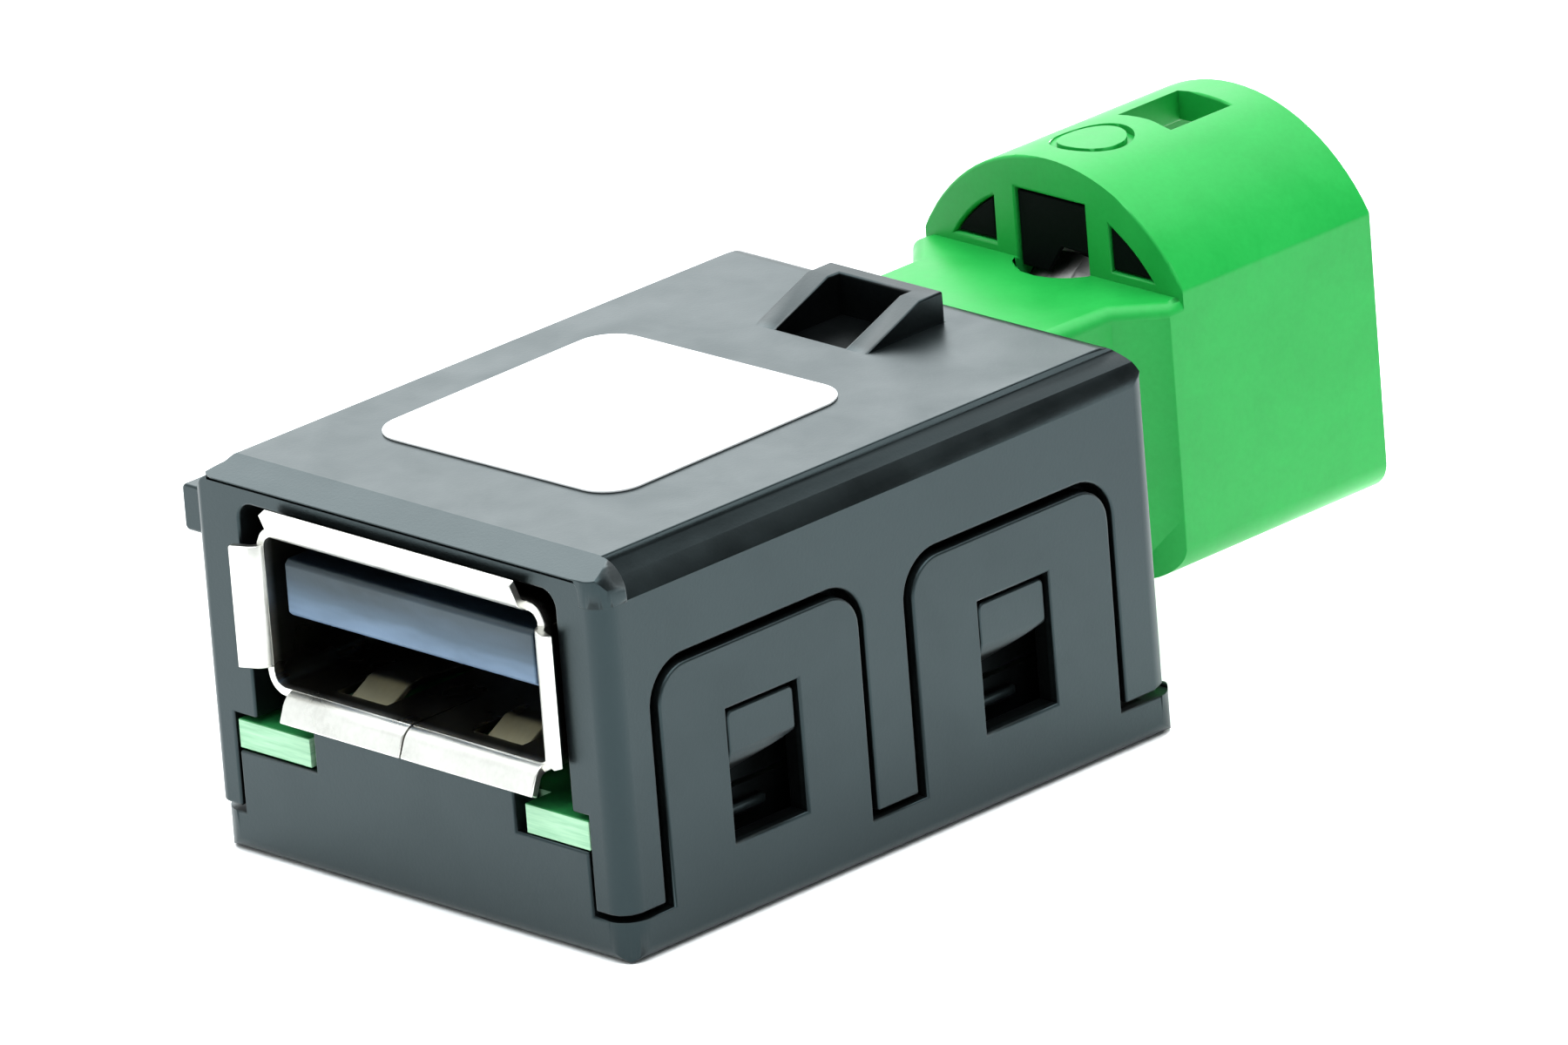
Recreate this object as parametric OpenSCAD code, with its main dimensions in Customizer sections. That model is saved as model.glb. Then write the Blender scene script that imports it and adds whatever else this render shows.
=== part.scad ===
// Car USB socket: a snapped-together housing with a type A receptacle at the front
// and a round keyed data connector at the rear, both soldered to one small board.
// Lengths in millimetres. +Z up, the receptacle faces -Y, the rear connector +Y.
// The origin is the centre of the base's bottom face.

/* [Housing] */
// Width over the side walls
body_w = 18.6; // [18.5:0.1:19.2]
// Height from the base's bottom face to the cover's top face
body_h = 13.3; // [13.3:0.1:14]
// Length of the cover
cover_l = 24.5; // [24.3:0.05:24.8]
// How far the base stands out behind the cover
rear_lip = 0.45; // [0.3:0.05:0.6]
// Thickness of the base's floor
floor_t = 1.4; // [1.2:0.1:1.4]
// Radius of the cover's right front corner
corner_r = 0.8; // [0.5:0.1:1.1]
// Radius of the base's vertical corners
base_r = 0.95; // [0.5:0.05:1.1]
// Radius along the bottom edges of the base
bottom_r = 0.5; // [0.3:0.05:0.6]

/* [Snap tabs] */
// Width of one tab
tab_w = 8.9; // [8.5:0.1:9]
// Height of the tabs above the bottom face
tab_top = 9.3; // [8.6:0.1:9.8]
// Thickness of the tabs
tab_t = 0.9; // [0.7:0.05:0.95]
// Distance from one tab to the next on the same side
tab_pitch = 11.31; // [11.2:0.01:11.4]
// Width of the window in a tab
window_w = 3.24; // [2.8:0.02:3.6]
// Height of the window in a tab
window_h = 4.5; // [4:0.1:4.6]
// Gap around a tab
tab_gap = 0.28; // [0.15:0.01:0.32]

/* [Receptacle] */
// Inside width of the shell
usb_w = 12.5; // [12.4:0.02:12.6]
// Inside height of the shell
usb_h = 5.12; // [5.04:0.02:5.2]
// Height of the shell's inner floor above the bottom face
usb_z = 6.15; // [6.05:0.05:6.25]
// Sheet thickness of the shell
shell_t = 0.3; // [0.2:0.05:0.3]
// How far the front lips flare outwards
lip_out = 1.1; // [0.8:0.05:1.15]
// Thickness of the tongue
tongue_t = 1.94; // [1.8:0.02:1.96]

/* [Rear connector] */
// Height of the connector's axis
axis_z = 9.35; // [9.3:0.05:9.4]
// Outer width of the rear collar
collar_w = 11.7; // [11.5:0.1:11.9]
// Radius of the arched top
arch_r = 6.75; // [6.65:0.05:6.85]
// Height of the collar's underside
collar_z = 3.05; // [2.9:0.05:3.2]
// Radius of the socket bore
socket_r = 4.75; // [4.6:0.05:4.8]
// Outer radius of the shield's sleeve in the socket
shield_r = 3.2; // [3:0.05:3.3]
// Outer radius of the shield tube in the neck
neck_r = 2.3; // [2.2:0.05:2.3]
// Rear end of the collar, measured from the housing's front
collar_end = 38.85; // [38.4:0.05:40]

/* [Board and label] */
// Thickness of the board
board_t = 1; // [0.8:0.1:1.2]
// Width of the label
label_w = 11; // [9:0.1:11.2]
// Length of the label
label_l = 11.1; // [9:0.1:11.4]
// Thickness of the label
label_t = 0.1; // [0.06:0.02:0.14]

/* [Hidden] */
$fn = 64;

hw = body_w / 2;                    // half the housing's width
base_l = cover_l + rear_lip;        // length of the base
base_hw = hw + 0.08;                // half the width over the base and its tabs
foot_z = floor_t + 0.2;             // underside of the cover's posts
top_in = body_h - 0.8;              // underside of the cover's top
post_in = hw - 1.4;                 // inner face of the right front post
post_l = hw - 1.05;                 // inner face of the left front post
board_z = 3.62;                     // underside of the board
board_top = board_z + board_t;      // top of the board
board_hw = post_in - 0.05;          // half the board's width
wall_z = board_top + 0.2;           // lower end of the cover's inner side walls
wall_in = hw - 1.8;                 // inner face of the inner side walls
wall_out = hw - tab_t - 0.1;        // outer face of the inner side walls
tab_y = 2.08;                       // front edge of the first tab
tab_r = 1.25;                       // upper corner radius of a tab
win_y = (tab_w - window_w) / 2 + 0.02;
win_z = 2.63;                       // lower edge of a window
edge_w = 0.95;                      // width of the facets along the top's long edges
edge_step = 0.3;                    // step between the top face and those facets
rear_top_r = 1.15;                  // round along the top's rear edge
lug_x = -0.15;                      // middle of the latch lug
lug_w = 5.1;
lug_y = 18.85;
lug_h = 1.05;
opening_hw = 7.2;                   // half the width of the front frame's opening
opening_z = 12.2;                   // top of that opening
conn_x = -0.15;                     // middle of the rear connector
green_hw = 4.5;                     // half the width of the connector's neck
neck_edge = 0.45;                   // round along the neck's top edges
lock_z = axis_z + shield_r + 0.1;   // underside of the lock, above the sleeve
shelf_z = 12.4;                     // top of the connector's neck
collar_y = 30;                      // front face of the arch
tube_end = 34.3;                    // rear end of the shield tube
mouth_y = 0.2;                      // where the shell's lips begin to bend
contact_x = [-3.5, -1, 1, 3.5];     // receptacle contacts
contact_z = usb_z + 2.22;           // underside of the contact beams
tail_y = [14.55, 14.55, 14.55, 14.55];
pin_o = 0.6;                        // half the pitch of the rear pins
pin_r = 0.22;

// Puts geometry measured from the housing's front face into the part's own frame.
module place() translate([0, -base_l / 2, 0]) children();

// Extrudes an X-Z outline from y0 to y1.
module xz(y0, y1) translate([0, y1, 0]) rotate([90, 0, 0]) linear_extrude(height = y1 - y0) children();

// Extrudes a Y-Z outline from x0 to x1.
module yz(x0, x1) translate([x0, 0, 0]) rotate([90, 0, 90]) linear_extrude(height = x1 - x0) children();

// Box given by its two corners.
module box(a, b) translate(a) cube(b - a);

// What is left outside a rounded corner whose inside points to +X +Y.
module corner_cut(r) difference() {
    translate([-1, -1]) square(r + 1);
    translate([r, r]) circle(r = r);
}

// Rectangle with its own radius at the low and the high corners.
module rounded(x0, x1, y0, y1, r_low, r_high) difference() {
    translate([x0, y0]) square([x1 - x0, y1 - y0]);
    if (r_low > 0) {
        translate([x0, y0]) corner_cut(r_low);
        translate([x1, y0]) rotate(90) corner_cut(r_low);
    }
    if (r_high > 0) {
        translate([x1, y1]) rotate(180) corner_cut(r_high);
        translate([x0, y1]) rotate(270) corner_cut(r_high);
    }
}

// Cross-section of the cover: a step and two facets along each long top edge.
module cover_section() difference() {
    translate([-hw, 0]) square([2 * hw, body_h]);
    for (s = [0, 1]) mirror([s, 0])
        translate([hw - edge_w, body_h - edge_step])
            polygon([[0, 0], [0.5, -0.34], [edge_w, -edge_w - 0.04], [edge_w + 1, -edge_w - 0.04], [edge_w + 1, 2], [0, 2]]);
}

// Hood over the front: wraps round the right corner and hangs a little lower there.
module hood() difference() {
    intersection() {
        translate([0, 0, 12]) linear_extrude(height = body_h - 12) rounded(-hw + 0.4, hw + 0.08, -0.15, 1.1, corner_r, 0);
        xz(-1, 2) rounded(-hw + 0.4, hw + 0.08, 11, body_h, 0, 1.1);
    }
    xz(-1, 3) rounded(-10, 8.45, 11, 12.86, 0, 0.5);
}

// Outline of one tab in Y-Z, grown by g on its free edges.
module tab_outline(i, g) rounded(tab_y + i * tab_pitch - g, tab_y + i * tab_pitch + tab_w + g, 0, tab_top + g, 0, tab_r + g);

module upper_housing() color([0.16, 0.165, 0.17]) place() union() {
    difference() {
        union() {
            intersection() {
                translate([0, 0, foot_z]) linear_extrude(height = body_h - foot_z) difference() {
                    rounded(-hw, hw, 0, cover_l, 0.45, 0);
                    translate([hw, 0]) rotate(90) corner_cut(corner_r);
                    // lead-in at the rear end of the sides
                    for (m = [0, 1]) mirror([m, 0]) polygon([[hw, cover_l - 0.6], [hw - 0.25, cover_l], [hw - 0.25, cover_l + 1], [hw + 1, cover_l + 1], [hw + 1, cover_l - 0.6]]);
                }
                xz(-1, cover_l + 1) cover_section();
                yz(-hw - 1, hw + 1) difference() {
                    translate([-1, 0]) square([cover_l + 1, body_h]);
                    translate([cover_l, body_h]) rotate(180) corner_cut(rear_top_r);
                }
            }
            hood();
            // ramped latch lug
            yz(lug_x - lug_w / 2, lug_x + lug_w / 2) polygon([[lug_y, body_h - 0.3], [lug_y, body_h], [lug_y + 2.6, body_h + lug_h],
                [lug_y + 3.65, body_h + lug_h], [lug_y + 3.65, body_h - 0.3]]);
            // key on the left side
            xz(0.6, 4.6) rounded(-hw - 1.15, -hw + 0.3, 10.4, 12, 0.2, 0.2);
        }
        // sloping front edge of the top
        yz(-hw - 1, hw + 1) polygon([[1.15, body_h], [-1, body_h - 0.66], [-1, body_h + 3], [1.15, body_h + 3]]);
        // shadow groove below the hood
        box([-hw + 0.75, -1, 12.7], [8.3, 0.22, 12.86]);
        // hollow between the inner walls, and the wider space below them
        box([-wall_in, 1.2, wall_z - 0.1], [wall_in, cover_l - 0.9, top_in]);
        box([-hw + 1.25, 1.2, 0], [hw - 1.25, cover_l - 0.9, wall_z]);
        // front frame
        box([-post_l, -1, 0], [post_in, 1.3, wall_z]);
        xz(-1, 1.3) rounded(-opening_hw, opening_hw, wall_z - 0.5, opening_z, 0, 0.6);
        // way out for the rear connector
        box([conn_x - green_hw - 0.1, cover_l - 1, 0], [conn_x + green_hw + 0.1, cover_l + 1, top_in]);
        // recesses for the snap tabs
        for (s = [0, 1], i = [0, 1]) mirror([s, 0, 0]) {
            yz(wall_out, hw + 1) tab_outline(i, tab_gap);
            box([wall_in - 0.2, tab_y + i * tab_pitch - tab_gap, 0], [hw, tab_y + i * tab_pitch + tab_w + tab_gap, wall_z]);
        }
        // pocket in the latch lug, sunk a little into the top
        box([lug_x - 1.6, lug_y - 0.5, body_h], [lug_x + 1.6, lug_y + 3.05, body_h + 3]);
        box([lug_x - 1.6, lug_y + 0.1, body_h - 0.4], [lug_x + 1.6, lug_y + 3.05, body_h + 3]);
    }
    // snap wedges, and ribs behind the windows that sit in the board's notches
    for (s = [0, 1], i = [0, 1]) mirror([s, 0, 0]) {
        intersection() {
            xz(tab_y + i * tab_pitch + win_y + 0.14, tab_y + i * tab_pitch + win_y + window_w - 0.14)
                polygon([[wall_out - 0.2, win_z + window_h - 0.14], [base_hw - 0.14, win_z + window_h - 0.14], [base_hw - 0.14, win_z + window_h - 1.5],
                    [base_hw - 0.24, win_z + window_h - 1.85], [base_hw - 0.55, wall_z], [wall_out - 0.2, wall_z]]);
            yz(0, hw + 1) difference() {
                rounded(tab_y + i * tab_pitch + win_y + 0.14, tab_y + i * tab_pitch + win_y + window_w - 0.14,
                    wall_z - 1, win_z + window_h - 0.14, 0, 0.25);
                translate([tab_y + i * tab_pitch + win_y, 0])
                    polygon([[0, wall_z - 2], [0, wall_z - 0.05], [window_w, wall_z + 0.65], [window_w, wall_z - 2]]);
            }
        }
        box([wall_in - 0.15, tab_y + i * tab_pitch + win_y - 0.4, board_z + 0.1],
            [wall_in + 0.12, tab_y + i * tab_pitch + win_y + window_w + 1.15, wall_z + 1.2]);
    }
}

module lower_housing() color([0.15, 0.155, 0.16]) place() union() {
    // floor, with shallow ejector marks in its underside
    difference() {
        intersection() {
            linear_extrude(height = floor_t) rounded(-base_hw, base_hw, 0, base_l, base_r, base_r);
            xz(-1, base_l + 1) rounded(-base_hw, base_hw, 0, floor_t + 1, bottom_r, 0);
            yz(-hw - 1, hw + 1) rounded(0, base_l, 0, floor_t + 1, bottom_r, 0);
        }
        for (s = [-1, 1], y = [4.2, base_l - 4.2]) translate([s * 6.2, y, -1]) cylinder(r = 0.9, h = 1.06);
    }
    // ridge along the rear lip
    intersection() {
        translate([0, 0, 0.7]) linear_extrude(height = 1) rounded(-base_hw, base_hw, 0, base_l, base_r, base_r);
        yz(-hw - 1, hw + 1) rounded(base_l - 0.24, base_l, 0.7, floor_t + 0.12, 0, 0.1);
    }
    // front plate
    box([-post_l + 0.12, 0, floor_t - 0.4], [post_in - 0.12, 1.15, board_z - 0.05]);
    box([-4.6, 0, floor_t - 0.4], [4.55, 1.15, 5.3]);
    // snap tabs
    for (s = [0, 1], i = [0, 1]) mirror([s, 0, 0]) difference() {
        yz(base_hw - tab_t, base_hw) difference() {
            tab_outline(i, 0);
            translate([tab_y + i * tab_pitch + win_y, win_z]) square([window_w, window_h]);
        }
        box([0, -1, -1], [hw + 1, base_l + 1, floor_t - 0.4]);
    }
    // ribs under the board
    for (s = [-1, 1]) translate([s * 7.35 - 0.3, 1.15, floor_t - 0.2]) cube([0.6, cover_l - 2.35, board_z - floor_t + 0.2]);
    // ledges behind the windows
    for (s = [0, 1], i = [0, 1]) mirror([s, 0, 0])
        box([7.2, tab_y + i * tab_pitch + win_y - 0.4, board_z - 0.83], [hw - 1.3, tab_y + i * tab_pitch + win_y + 2.75, board_z - 0.45]);
    // upstand below the rear connector
    box([-4.3, cover_l - 0.9, floor_t - 0.4], [4.3, cover_l - 0.1, collar_z - 0.1]);
}

module label() color([0.97, 0.97, 0.97]) place()
    translate([-0.66, 10.35, body_h]) rotate(1.2) linear_extrude(height = label_t)
        rounded(-label_w / 2, label_w / 2, -label_l / 2, label_l / 2, 1.3, 1.3);

// Section of a lip: runs along the wall, bends through an arc and stands out. u runs
// forward from the shell's mouth, v outwards from its inner wall.
module lip_section(out) {
    n = 8;
    bend = 68;
    ri = 0.3;                       // radius on the outer side of the sheet
    run = out - shell_t - ri * (1 - cos(bend)) - 0.02;
    inner = [for (k = [0:n]) let (a = bend * k / n) [(ri + shell_t) * sin(a), shell_t + ri - (ri + shell_t) * cos(a)]];
    outer = [for (k = [n:-1:0]) let (a = bend * k / n) [ri * sin(a), shell_t + ri - ri * cos(a)]];
    e = [cos(bend), sin(bend)] * run;
    polygon(concat([[-0.3, 0]], inner, [inner[n] + e, outer[0] + e], outer, [[-0.3, shell_t]]));
}

// A spring finger cut from the shell's wall and bowed inwards. u runs back from the mouth.
module finger_section() polygon([[1.0, -0.26], [1.15, -0.3], [2.1, 0.22], [2.8, 0.3], [6.4, 0], [6.8, 0], [6.8, -shell_t + 0.02],
    [6.3, -shell_t + 0.02], [2.8, 0.08], [2.18, 0.0], [1.25, -0.52], [1.0, -0.46]]);

module usb_shell() color([0.82, 0.82, 0.8]) place() {
    iw = usb_w / 2;
    x0 = -iw - shell_t;
    x1 = iw + shell_t;
    z0 = usb_z - shell_t;
    z1 = usb_z + usb_h + shell_t;
    mid = usb_z + usb_h / 2;
    union() {
        difference() {
            xz(mouth_y - 0.1, 13.4) difference() {
                rounded(x0, x1, z0, z1, 0.75, 0.75);
                rounded(-iw, iw, usb_z, usb_z + usb_h, 0.45, 0.45);
            }
            // openings that the spring fingers are cut from
            for (x = [-3.1, 3.1]) box([x - 1.15, 0.85, z0 - 1], [x + 1.15, 6.5, usb_z + 1]);
            for (x = [-3.1, 3.1]) box([x - 1.15, 2.85, z1 - 1], [x + 1.15, 8.5, z1 + 1]);
            for (s = [-1, 1]) translate([s * iw, 0, mid]) translate([-1, 2.85, -0.95]) cube([2, 5.65, 1.9]);
            // butt seam of the folded sheet
            box([-0.04, -1, z0 - 1], [0.04, 3.0, usb_z + 1]);
        }
        // front lips
        difference() {
            union() {
                translate([0, mouth_y, usb_z + usb_h]) yz(-5.6, 5.8) mirror([1, 0]) lip_section(lip_out + 0.1);
                translate([0, mouth_y, usb_z]) mirror([0, 0, 1]) yz(-5.5, 6) mirror([1, 0]) lip_section(lip_out);
                translate([iw, mouth_y, mid]) rotate([0, 90, 0]) yz(-2.15, 2.35) mirror([1, 0]) lip_section(lip_out);
                mirror([1, 0, 0]) translate([iw, mouth_y, mid]) rotate([0, 90, 0]) yz(-2.2, 1.95) mirror([1, 0]) lip_section(lip_out);
            }
            box([-0.04, -2, z0 - 2], [0.04, 1, usb_z + 1]);
        }
        // spring fingers: two below, two above, one at each side
        for (x = [-3.1, 3.1]) {
            translate([x, 0, usb_z]) yz(-0.9, 0.9) finger_section();
            translate([x, 2, usb_z + usb_h]) mirror([0, 0, 1]) yz(-0.9, 0.9) scale([1, 0.7]) finger_section();
        }
        for (s = [0, 1]) mirror([s, 0, 0]) translate([iw, 2, mid]) rotate([0, -90, 0]) yz(-0.7, 0.7) finger_section();
        // legs through the board
        for (s = [-1, 1], y = [4.6, 10.6]) translate([s * (iw + shell_t / 2) - shell_t / 2, y, 2.6]) cube([shell_t, 1.6, z0 + 1.5 - 2.6]);
    }
}

module usb_insulator() color([0.2, 0.21, 0.24]) place() {
    z1 = usb_z + usb_h - 0.8;
    z0 = z1 - tongue_t;
    difference() {
        union() {
            // tongue with a chamfered tip
            yz(-5.65, 5.65) polygon([[0.38, z0 + 0.15], [0.53, z0], [9.6, z0], [9.6, z1], [0.53, z1], [0.38, z1 - 0.15]]);
            // block at the back of the shell
            xz(9.4, 13.7) rounded(-usb_w / 2 + 0.06, usb_w / 2 - 0.06, usb_z + 0.06, usb_z + usb_h - 0.06, 0.45, 0.45);
            // foot on the board
            box([-4.9, 11.5, board_top + 0.02], [4.9, 13.5, usb_z - shell_t - 0.02]);
            box([-4.9, 13.43, board_top + 0.02], [4.9, 13.95, usb_z + 1.7]);
        }
        // slots for the contacts
        for (x = contact_x) {
            box([x - 0.56, 1.0, z0 - 1], [x + 0.56, 9.5, z0 + 0.16]);
            box([x - 0.56, 9.3, contact_z - 0.05], [x + 0.56, 14, z0 + 0.16]);
        }
    }
}

// One contact: a beam under the tongue with a bowed tip, then a tail down through the board.
module usb_contact(x, y_tail) color([0.86, 0.72, 0.4]) place() {
    z = contact_z;
    t = 0.22;
    yz(x - 0.5, x + 0.5) polygon([[1.15, z + 0.02], [2.0, z - 0.05], [3.3, z - 0.32], [4.6, z - 0.32], [6.4, z], [y_tail - 0.1, z], [y_tail - 0.1, 2.9],
        [y_tail, 2.6], [y_tail + 0.1, 2.6], [y_tail + t - 0.1, 2.9], [y_tail + t - 0.1, z + t - 0.15], [y_tail + t - 0.25, z + t], [6.4, z + t],
        [4.6, z - 0.32 + t], [3.3, z - 0.32 + t], [2.0, z - 0.05 + t], [1.15, z + 0.02 + t]]);
}
module usb_contact_power() usb_contact(contact_x[3], tail_y[3]);
module usb_contact_data_minus() usb_contact(contact_x[2], tail_y[2]);
module usb_contact_data_plus() usb_contact(contact_x[1], tail_y[1]);
module usb_contact_ground() usb_contact(contact_x[0], tail_y[0]);

module circuit_board() color([0.1, 0.45, 0.2]) place() difference() {
    union() {
        box([-board_hw, 1.25, board_z], [board_hw, cover_l - 1.2, board_top]);
        // front corners that show beside the front plate
        box([-post_l + 0.12, 0.06, board_z], [-4.85, 1.1, board_top]);
        box([-board_hw, 0.06, board_z], [-4.85, 1.3, board_top]);
        box([5.0, 0.06, board_z], [board_hw, 1.3, board_top]);
    }
    // notches beside the windows of the snap tabs
    for (s = [0, 1], i = [0, 1]) mirror([s, 0, 0])
        box([wall_in - 0.25, tab_y + i * tab_pitch + win_y - 0.5, board_z - 1], [hw, tab_y + i * tab_pitch + win_y + window_w + 1.3, board_top + 1]);
    // slots for the shell's legs
    for (s = [-1, 1], y = [4.6, 10.6]) translate([s * (usb_w / 2 + shell_t / 2) - 0.3, y - 0.15, board_z - 1]) cube([0.6, 1.9, board_t + 2]);
    // holes for the contact tails
    for (i = [0:3]) translate([contact_x[i], tail_y[i] + 0.01, board_z - 1]) cylinder(r = 0.56, h = board_t + 2);
    // holes for the rear pins and slots for the shield's legs
    for (x = [-pin_o, pin_o], y = [17.6, 19.2]) translate([conn_x + x, y, board_z - 1]) cylinder(r = 0.4, h = board_t + 2);
    for (s = [-1, 1]) translate([conn_x + s * (neck_r - 0.15) - 0.3, 20.35, board_z - 1]) cube([0.6, 1.3, board_t + 2]);
}

// Arched outline of the collar in X-Z.
module collar_outline() {
    difference() {
        union() {
            rounded(-collar_w / 2, collar_w / 2, collar_z, shelf_z, 1, 0);
            intersection() {
                translate([0, axis_z]) circle(r = arch_r);
                translate([-collar_w / 2, axis_z - 1]) square([collar_w, 10]);
            }
        }
    }
}

// Neck with rounded top edges; its sides slope out to the collar.
module neck() intersection() {
    union() {
        xz(20, collar_y + 0.5) rounded(-green_hw, green_hw, collar_z, shelf_z, 0.3, neck_edge);
        intersection() {
            xz(collar_y - 2, collar_y + 0.5) rounded(-collar_w / 2, collar_w / 2, collar_z, shelf_z, 1, neck_edge - 0.05);
            translate([green_hw, collar_y - 2, 0]) rotate(-45) xz(-20, 20) rounded(-30, 0, collar_z, shelf_z, 0, neck_edge);
            mirror([1, 0, 0]) translate([green_hw, collar_y - 2, 0]) rotate(-45) xz(-20, 20) rounded(-30, 0, collar_z, shelf_z, 0, neck_edge);
        }
    }
    yz(-10, 10) polygon([[21.6, board_top + 0.04], [cover_l - 1.1, board_top + 0.04], [cover_l - 1.1, collar_z], [collar_y + 1, collar_z],
        [collar_y + 1, shelf_z], [21.6, shelf_z]]);
}

module rear_connector_housing() color([0.13, 0.62, 0.24]) place() translate([conn_x, 0, 0]) difference() {
    union() {
        // collar
        xz(collar_y, collar_end) collar_outline();
        // neck, widening to the collar
        neck();
        // block that stands on the board
        box([-green_hw, 16.6, board_top + 0.04], [green_hw, 21.7, 11.8]);
    }
    // socket bore and the bore for the shield tube
    translate([0, collar_end + 1, axis_z]) rotate([90, 0, 0]) cylinder(r = socket_r, h = collar_end + 1 - 31);
    translate([0, 32, axis_z]) rotate([90, 0, 0]) cylinder(r = neck_r + 0.03, h = 32 - 19.9);
    translate([0, 31.1, axis_z]) rotate([90, 0, 0]) cylinder(r1 = shield_r + 0.07, r2 = neck_r + 0.03, h = 1.4);
    // latch channel above the bore, and its window in the arch's front
    box([-1.6, collar_y - 0.1, 10.8], [1.6, 31.7, 14.8]);
    intersection() {
        translate([0, collar_y + 1, 10.8]) cylinder(r = 1.95, h = shelf_z - 10.6);
        box([-1.6, collar_y - 1.5, 10], [1.6, collar_y + 0.5, shelf_z + 1]);
    }
    box([-1.6, 30.9, axis_z], [1.6, collar_end + 1, 14.95]);
    // corner windows beside it
    intersection() {
        xz(29.9, 37) intersection() {
            translate([0, axis_z]) circle(r = 5.6);
            union() for (s = [0, 1]) mirror([s, 0]) translate([2.62, 12.7]) square([5, 5]);
        }
        box([-6, 29.9, 12], [6, 37, 16]);
    }
    // key slots in the bore's lower half
    for (s = [-1, 1]) translate([s * 3.6 - 0.5, 31, axis_z - 4.35]) cube([1, collar_end - 30, 2]);
    // latch slot through the top
    box([-1.2, 34.6, 13.6], [1.2, 37.4, 17]);
    // plain ring mark
    translate([-0.25, 32.4, arch_r + axis_z - 0.25]) difference() {
        cylinder(r = 1.4, h = 2);
        translate([0, 0, -1]) cylinder(r = 1.15, h = 4);
    }
    // space for the pin tails and the shield's legs
    box([-1.4, 17.1, 3], [1.4, 20.5, 10.9]);
    box([-neck_r - 0.05, 19.9, 3], [neck_r + 0.05, 21.75, axis_z]);
}

// Shield: a tube through the neck that widens to a sleeve in the socket.
module rear_connector_shield() color([0.7, 0.69, 0.66]) place() translate([conn_x, 0, 0]) difference() {
    union() {
        translate([0, 31.5, axis_z]) rotate([90, 0, 0]) cylinder(r = neck_r, h = 31.5 - 20.4);
        translate([0, tube_end, axis_z]) rotate([90, 0, 0]) cylinder(r = shield_r, h = tube_end - 31.02);
        translate([0, 31.05, axis_z]) rotate([90, 0, 0]) cylinder(r1 = shield_r, r2 = neck_r, h = 1.3);
        for (s = [-1, 1]) translate([s * (neck_r - 0.15) - 0.15, 20.5, 2.7]) cube([0.3, 1, axis_z - 2.7]);
    }
    translate([0, tube_end + 1, axis_z]) rotate([90, 0, 0]) cylinder(r = neck_r - 0.3, h = 20);
    translate([0, tube_end + 1, axis_z]) rotate([90, 0, 0]) cylinder(r = shield_r - 0.4, h = tube_end + 1 - 31.5);
    // lead-in at the mouth
    translate([0, tube_end + 0.01, axis_z]) rotate([90, 0, 0]) cylinder(r1 = shield_r - 0.15, r2 = shield_r - 0.4, h = 0.25);
}

module rear_connector_insulator() color([0.9, 0.9, 0.86]) place() translate([conn_x, 0, 0]) difference() {
    union() {
        translate([0, 33.2, axis_z]) rotate([90, 0, 0]) cylinder(r = neck_r - 0.33, h = 33.2 - 20.6);
        translate([0, 32.3, axis_z]) rotate([90, 0, 0]) cylinder(r = shield_r - 0.43, h = 32.3 - 31.52);
    }
    for (x = [-pin_o, pin_o], z = [-pin_o, pin_o]) translate([x, 40, axis_z + z]) rotate([90, 0, 0]) cylinder(r = pin_r + 0.02, h = 25);
}

// Lock above the shield's sleeve: it fills the three windows in the arch's front.
module rear_connector_lock() color([0.14, 0.17, 0.16]) place() translate([conn_x, 0, 0]) union() {
    xz(31.05, 33) intersection() {
        translate([0, axis_z]) circle(r = socket_r - 0.05);
        translate([-5, lock_z]) square([10, 5]);
    }
    box([-1.55, collar_y + 0.12, lock_z + 0.4], [1.55, 31.3, 14.7]);
    xz(collar_y + 0.12, collar_y + 0.3) polygon([[-1.55, axis_z + 2.75], [-0.35, axis_z + 2.75], [0.45, lock_z + 0.6], [-1.55, lock_z + 0.6]]);
    for (s = [0, 1]) mirror([s, 0, 0]) xz(collar_y + 0.1, 33) intersection() {
        translate([0, axis_z]) circle(r = 5.55);
        translate([2.67, lock_z + 0.12]) square([5, 5]);
    }
}

// One rear pin: straight through the insulator, then down through the board.
module rear_pin(x, z, y_tail) color([0.86, 0.72, 0.4]) place() translate([conn_x, 0, 0]) union() {
    translate([x, 33.6, axis_z + z]) rotate([90, 0, 0]) cylinder(r = pin_r, h = 33.6 - y_tail);
    translate([x, 33.6, axis_z + z]) sphere(r = pin_r);
    translate([x, y_tail, 2.7]) cylinder(r = pin_r, h = axis_z + z - 2.7);
    translate([x, y_tail, axis_z + z]) sphere(r = pin_r);
}
module rear_pin_power() rear_pin(-pin_o, pin_o, 17.6);
module rear_pin_data_minus() rear_pin(pin_o, pin_o, 17.6);
module rear_pin_data_plus() rear_pin(-pin_o, -pin_o, 19.2);
module rear_pin_ground() rear_pin(pin_o, -pin_o, 19.2);

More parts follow.
